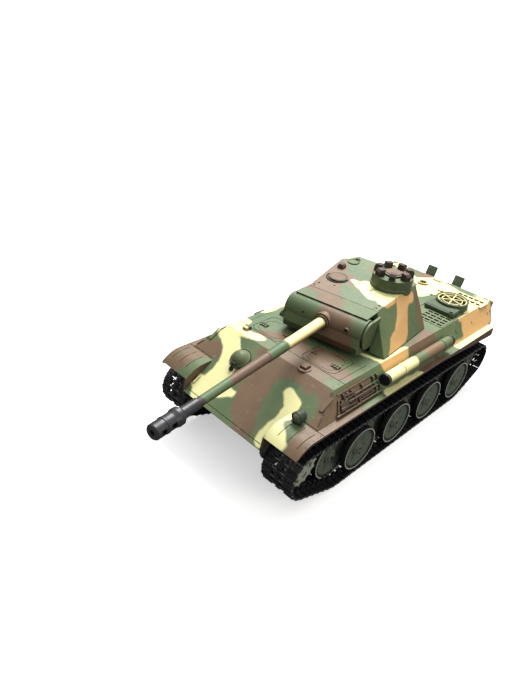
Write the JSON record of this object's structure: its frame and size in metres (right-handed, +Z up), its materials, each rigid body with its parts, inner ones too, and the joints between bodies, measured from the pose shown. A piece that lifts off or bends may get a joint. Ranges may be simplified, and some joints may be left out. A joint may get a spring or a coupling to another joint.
{
  "type": "remote-controlled scale tank",
  "caption": "Remote-controlled scale tank with interleaved road wheels on sprung arms, slotted sprockets, tracks, a turning turret with cupola, and an elevating gun with a muzzle brake.",
  "frame": {"origin": "middle of the bounding box, gun included, at ground level under the tracks", "axes": "+Z up, the nose and gun point to -Y, the tank's left side faces +X"},
  "size_m": [0.204, 0.5483, 0.1834],
  "materials": {
    "camo_paint": "matt airbrushed three-colour camouflage of green, red-brown and dark yellow",
    "wheel_paint": "matt grey-green dish with a black tyre",
    "dark_plastic": "matt dark grey",
    "track_plastic": "matt black moulded plastic",
    "sprocket_paint": "matt grey-green paint worn at the teeth",
    "steel": "zinc plated",
    "battery_wrap": "shrink wrap",
    "circuit_board": "solder mask"
  },
  "bodies": {
    "hull": {"lower_hull": "camo_paint", "upper_hull": "camo_paint", "headlight": "camo_paint", "mg_ball_mount": "camo_paint", "cleaning_tube": "camo_paint", "tool_racks": "camo_paint", "exhaust_pipes": "camo_paint", "stowage_bins": "camo_paint", "fan_tower": "camo_paint", "track_l": "track_plastic", "track_r": "track_plastic", "hull_screws": "steel", "drive_gearboxes": "steel", "battery_pack": "battery_wrap", "control_electronics": "circuit_board"},
    "turret": {"turret_shell": "camo_paint", "turret_base": "camo_paint", "cupola_ring": "camo_paint"},
    "gun": {"mantlet": "camo_paint", "gun_barrel": "camo_paint", "muzzle_brake": "dark_plastic"},
    "commander_hatch": {"cupola_hatch": "camo_paint"},
    "battery_cover": {"battery_door": "dark_plastic"},
    "switch_slider": {"power_switch": "dark_plastic"},
    "drive_sprocket_l": {"sprocket_l": "sprocket_paint"},
    "idler_wheel_l": {"idler_l": "wheel_paint"},
    "wheel_l1": {"road_wheel_l1": "wheel_paint"},
    "arm_l1": {"swing_arm_l1": "dark_plastic"},
    "wheel_l2": {"road_wheel_l2": "wheel_paint"},
    "arm_l2": {"swing_arm_l2": "dark_plastic"},
    "wheel_l3": {"road_wheel_l3": "wheel_paint"},
    "arm_l3": {"swing_arm_l3": "dark_plastic"},
    "wheel_l4": {"road_wheel_l4": "wheel_paint"},
    "arm_l4": {"swing_arm_l4": "dark_plastic"},
    "wheel_l5": {"road_wheel_l5": "wheel_paint"},
    "arm_l5": {"swing_arm_l5": "dark_plastic"},
    "wheel_l6": {"road_wheel_l6": "wheel_paint"},
    "arm_l6": {"swing_arm_l6": "dark_plastic"},
    "wheel_l7": {"road_wheel_l7": "wheel_paint"},
    "arm_l7": {"swing_arm_l7": "dark_plastic"},
    "wheel_l8": {"road_wheel_l8": "wheel_paint"},
    "arm_l8": {"swing_arm_l8": "dark_plastic"},
    "drive_sprocket_r": {"sprocket_r": "sprocket_paint"},
    "idler_wheel_r": {"idler_r": "wheel_paint"},
    "wheel_r1": {"road_wheel_r1": "wheel_paint"},
    "arm_r1": {"swing_arm_r1": "dark_plastic"},
    "wheel_r2": {"road_wheel_r2": "wheel_paint"},
    "arm_r2": {"swing_arm_r2": "dark_plastic"},
    "wheel_r3": {"road_wheel_r3": "wheel_paint"},
    "arm_r3": {"swing_arm_r3": "dark_plastic"},
    "wheel_r4": {"road_wheel_r4": "wheel_paint"},
    "arm_r4": {"swing_arm_r4": "dark_plastic"},
    "wheel_r5": {"road_wheel_r5": "wheel_paint"},
    "arm_r5": {"swing_arm_r5": "dark_plastic"},
    "wheel_r6": {"road_wheel_r6": "wheel_paint"},
    "arm_r6": {"swing_arm_r6": "dark_plastic"},
    "wheel_r7": {"road_wheel_r7": "wheel_paint"},
    "arm_r7": {"swing_arm_r7": "dark_plastic"},
    "wheel_r8": {"road_wheel_r8": "wheel_paint"},
    "arm_r8": {"swing_arm_r8": "dark_plastic"}
  },
  "joints": [
    {"name": "turret_traverse", "type": "hinge", "parent": "hull", "child": "turret", "pos_m": [0, 0.04372, 0.115], "axis": [0, 0, 1], "range_deg": [-168.76, 151.24]},
    {"name": "gun_elevation", "type": "hinge", "parent": "turret", "child": "gun", "pos_m": [0.00822, -0.00965, 0.1385], "axis": [-0.9883, -0.1523, 0], "range_deg": [-5, 12]},
    {"name": "hatch_hinge", "type": "hinge", "parent": "turret", "child": "commander_hatch", "pos_m": [0.02924, 0.0975, 0.177], "axis": [-0.9229, 0.3849, 0], "range_deg": [0, 110]},
    {"name": "battery_door_hinge", "type": "hinge", "parent": "hull", "child": "battery_cover", "pos_m": [0, -0.01628, 0.0342], "axis": [-1, 0, 0], "range_deg": [0, 100]},
    {"name": "switch_slide", "type": "slide", "parent": "hull", "child": "switch_slider", "axis": [0, -1, 0], "range_m": [0, 0.0068]},
    {"name": "sprocket_l_spin", "type": "hinge", "parent": "hull", "child": "drive_sprocket_l", "pos_m": [0.08, -0.12828, 0.046], "axis": [1, 0, 0], "continuous": true},
    {"name": "idler_l_spin", "type": "hinge", "parent": "hull", "child": "idler_wheel_l", "pos_m": [0.08, 0.21472, 0.0435], "axis": [1, 0, 0], "continuous": true},
    {"name": "suspension_l1", "type": "hinge", "parent": "hull", "child": "arm_l1", "pos_m": [0.055, -0.09288, 0.04], "axis": [1, 0, 0], "range_deg": [0, 15], "stiffness_Nm_per_rad": 0.5, "springref_deg": -11.46},
    {"name": "wheel_l1_spin", "type": "hinge", "parent": "arm_l1", "child": "wheel_l1", "pos_m": [0.08, -0.07688, 0.0316], "axis": [1, 0, 0], "continuous": true},
    {"name": "suspension_l2", "type": "hinge", "parent": "hull", "child": "arm_l2", "pos_m": [0.055, -0.05788, 0.04], "axis": [1, 0, 0], "range_deg": [0, 15], "stiffness_Nm_per_rad": 0.5, "springref_deg": -11.46},
    {"name": "wheel_l2_spin", "type": "hinge", "parent": "arm_l2", "child": "wheel_l2", "pos_m": [0.08, -0.04188, 0.0316], "axis": [1, 0, 0], "continuous": true},
    {"name": "suspension_l3", "type": "hinge", "parent": "hull", "child": "arm_l3", "pos_m": [0.055, -0.02288, 0.04], "axis": [1, 0, 0], "range_deg": [0, 15], "stiffness_Nm_per_rad": 0.5, "springref_deg": -11.46},
    {"name": "wheel_l3_spin", "type": "hinge", "parent": "arm_l3", "child": "wheel_l3", "pos_m": [0.08, -0.00688, 0.0316], "axis": [1, 0, 0], "continuous": true},
    {"name": "suspension_l4", "type": "hinge", "parent": "hull", "child": "arm_l4", "pos_m": [0.055, 0.01212, 0.04], "axis": [1, 0, 0], "range_deg": [0, 15], "stiffness_Nm_per_rad": 0.5, "springref_deg": -11.46},
    {"name": "wheel_l4_spin", "type": "hinge", "parent": "arm_l4", "child": "wheel_l4", "pos_m": [0.08, 0.02812, 0.0316], "axis": [1, 0, 0], "continuous": true},
    {"name": "suspension_l5", "type": "hinge", "parent": "hull", "child": "arm_l5", "pos_m": [0.055, 0.04712, 0.04], "axis": [1, 0, 0], "range_deg": [0, 15], "stiffness_Nm_per_rad": 0.5, "springref_deg": -11.46},
    {"name": "wheel_l5_spin", "type": "hinge", "parent": "arm_l5", "child": "wheel_l5", "pos_m": [0.08, 0.06312, 0.0316], "axis": [1, 0, 0], "continuous": true},
    {"name": "suspension_l6", "type": "hinge", "parent": "hull", "child": "arm_l6", "pos_m": [0.055, 0.08212, 0.04], "axis": [1, 0, 0], "range_deg": [0, 15], "stiffness_Nm_per_rad": 0.5, "springref_deg": -11.46},
    {"name": "wheel_l6_spin", "type": "hinge", "parent": "arm_l6", "child": "wheel_l6", "pos_m": [0.08, 0.09812, 0.0316], "axis": [1, 0, 0], "continuous": true},
    {"name": "suspension_l7", "type": "hinge", "parent": "hull", "child": "arm_l7", "pos_m": [0.055, 0.11712, 0.04], "axis": [1, 0, 0], "range_deg": [0, 15], "stiffness_Nm_per_rad": 0.5, "springref_deg": -11.46},
    {"name": "wheel_l7_spin", "type": "hinge", "parent": "arm_l7", "child": "wheel_l7", "pos_m": [0.08, 0.13312, 0.0316], "axis": [1, 0, 0], "continuous": true},
    {"name": "suspension_l8", "type": "hinge", "parent": "hull", "child": "arm_l8", "pos_m": [0.055, 0.15212, 0.04], "axis": [1, 0, 0], "range_deg": [0, 15], "stiffness_Nm_per_rad": 0.5, "springref_deg": -11.46},
    {"name": "wheel_l8_spin", "type": "hinge", "parent": "arm_l8", "child": "wheel_l8", "pos_m": [0.08, 0.16812, 0.0316], "axis": [1, 0, 0], "continuous": true},
    {"name": "sprocket_r_spin", "type": "hinge", "parent": "hull", "child": "drive_sprocket_r", "pos_m": [-0.08, -0.12828, 0.046], "axis": [1, 0, 0], "continuous": true},
    {"name": "idler_r_spin", "type": "hinge", "parent": "hull", "child": "idler_wheel_r", "pos_m": [-0.08, 0.21472, 0.0435], "axis": [1, 0, 0], "continuous": true},
    {"name": "suspension_r1", "type": "hinge", "parent": "hull", "child": "arm_r1", "pos_m": [-0.055, -0.09288, 0.04], "axis": [1, 0, 0], "range_deg": [0, 15], "stiffness_Nm_per_rad": 0.5, "springref_deg": -11.46},
    {"name": "wheel_r1_spin", "type": "hinge", "parent": "arm_r1", "child": "wheel_r1", "pos_m": [-0.08, -0.07688, 0.0316], "axis": [1, 0, 0], "continuous": true},
    {"name": "suspension_r2", "type": "hinge", "parent": "hull", "child": "arm_r2", "pos_m": [-0.055, -0.05788, 0.04], "axis": [1, 0, 0], "range_deg": [0, 15], "stiffness_Nm_per_rad": 0.5, "springref_deg": -11.46},
    {"name": "wheel_r2_spin", "type": "hinge", "parent": "arm_r2", "child": "wheel_r2", "pos_m": [-0.08, -0.04188, 0.0316], "axis": [1, 0, 0], "continuous": true},
    {"name": "suspension_r3", "type": "hinge", "parent": "hull", "child": "arm_r3", "pos_m": [-0.055, -0.02288, 0.04], "axis": [1, 0, 0], "range_deg": [0, 15], "stiffness_Nm_per_rad": 0.5, "springref_deg": -11.46},
    {"name": "wheel_r3_spin", "type": "hinge", "parent": "arm_r3", "child": "wheel_r3", "pos_m": [-0.08, -0.00688, 0.0316], "axis": [1, 0, 0], "continuous": true},
    {"name": "suspension_r4", "type": "hinge", "parent": "hull", "child": "arm_r4", "pos_m": [-0.055, 0.01212, 0.04], "axis": [1, 0, 0], "range_deg": [0, 15], "stiffness_Nm_per_rad": 0.5, "springref_deg": -11.46},
    {"name": "wheel_r4_spin", "type": "hinge", "parent": "arm_r4", "child": "wheel_r4", "pos_m": [-0.08, 0.02812, 0.0316], "axis": [1, 0, 0], "continuous": true},
    {"name": "suspension_r5", "type": "hinge", "parent": "hull", "child": "arm_r5", "pos_m": [-0.055, 0.04712, 0.04], "axis": [1, 0, 0], "range_deg": [0, 15], "stiffness_Nm_per_rad": 0.5, "springref_deg": -11.46},
    {"name": "wheel_r5_spin", "type": "hinge", "parent": "arm_r5", "child": "wheel_r5", "pos_m": [-0.08, 0.06312, 0.0316], "axis": [1, 0, 0], "continuous": true},
    {"name": "suspension_r6", "type": "hinge", "parent": "hull", "child": "arm_r6", "pos_m": [-0.055, 0.08212, 0.04], "axis": [1, 0, 0], "range_deg": [0, 15], "stiffness_Nm_per_rad": 0.5, "springref_deg": -11.46},
    {"name": "wheel_r6_spin", "type": "hinge", "parent": "arm_r6", "child": "wheel_r6", "pos_m": [-0.08, 0.09812, 0.0316], "axis": [1, 0, 0], "continuous": true},
    {"name": "suspension_r7", "type": "hinge", "parent": "hull", "child": "arm_r7", "pos_m": [-0.055, 0.11712, 0.04], "axis": [1, 0, 0], "range_deg": [0, 15], "stiffness_Nm_per_rad": 0.5, "springref_deg": -11.46},
    {"name": "wheel_r7_spin", "type": "hinge", "parent": "arm_r7", "child": "wheel_r7", "pos_m": [-0.08, 0.13312, 0.0316], "axis": [1, 0, 0], "continuous": true},
    {"name": "suspension_r8", "type": "hinge", "parent": "hull", "child": "arm_r8", "pos_m": [-0.055, 0.15212, 0.04], "axis": [1, 0, 0], "range_deg": [0, 15], "stiffness_Nm_per_rad": 0.5, "springref_deg": -11.46},
    {"name": "wheel_r8_spin", "type": "hinge", "parent": "arm_r8", "child": "wheel_r8", "pos_m": [-0.08, 0.16812, 0.0316], "axis": [1, 0, 0], "continuous": true}
  ],
  "couplings": [
    {"joint": "idler_l_spin", "follows": "sprocket_l_spin", "ratio": 1.0996},
    {"joint": "wheel_l1_spin", "follows": "sprocket_l_spin", "ratio": 0.9554},
    {"joint": "wheel_l2_spin", "follows": "sprocket_l_spin", "ratio": 0.9554},
    {"joint": "wheel_l3_spin", "follows": "sprocket_l_spin", "ratio": 0.9554},
    {"joint": "wheel_l4_spin", "follows": "sprocket_l_spin", "ratio": 0.9554},
    {"joint": "wheel_l5_spin", "follows": "sprocket_l_spin", "ratio": 0.9554},
    {"joint": "wheel_l6_spin", "follows": "sprocket_l_spin", "ratio": 0.9554},
    {"joint": "wheel_l7_spin", "follows": "sprocket_l_spin", "ratio": 0.9554},
    {"joint": "wheel_l8_spin", "follows": "sprocket_l_spin", "ratio": 0.9554},
    {"joint": "idler_r_spin", "follows": "sprocket_r_spin", "ratio": 1.0996},
    {"joint": "wheel_r1_spin", "follows": "sprocket_r_spin", "ratio": 0.9554},
    {"joint": "wheel_r2_spin", "follows": "sprocket_r_spin", "ratio": 0.9554},
    {"joint": "wheel_r3_spin", "follows": "sprocket_r_spin", "ratio": 0.9554},
    {"joint": "wheel_r4_spin", "follows": "sprocket_r_spin", "ratio": 0.9554},
    {"joint": "wheel_r5_spin", "follows": "sprocket_r_spin", "ratio": 0.9554},
    {"joint": "wheel_r6_spin", "follows": "sprocket_r_spin", "ratio": 0.9554},
    {"joint": "wheel_r7_spin", "follows": "sprocket_r_spin", "ratio": 0.9554},
    {"joint": "wheel_r8_spin", "follows": "sprocket_r_spin", "ratio": 0.9554}
  ]
}
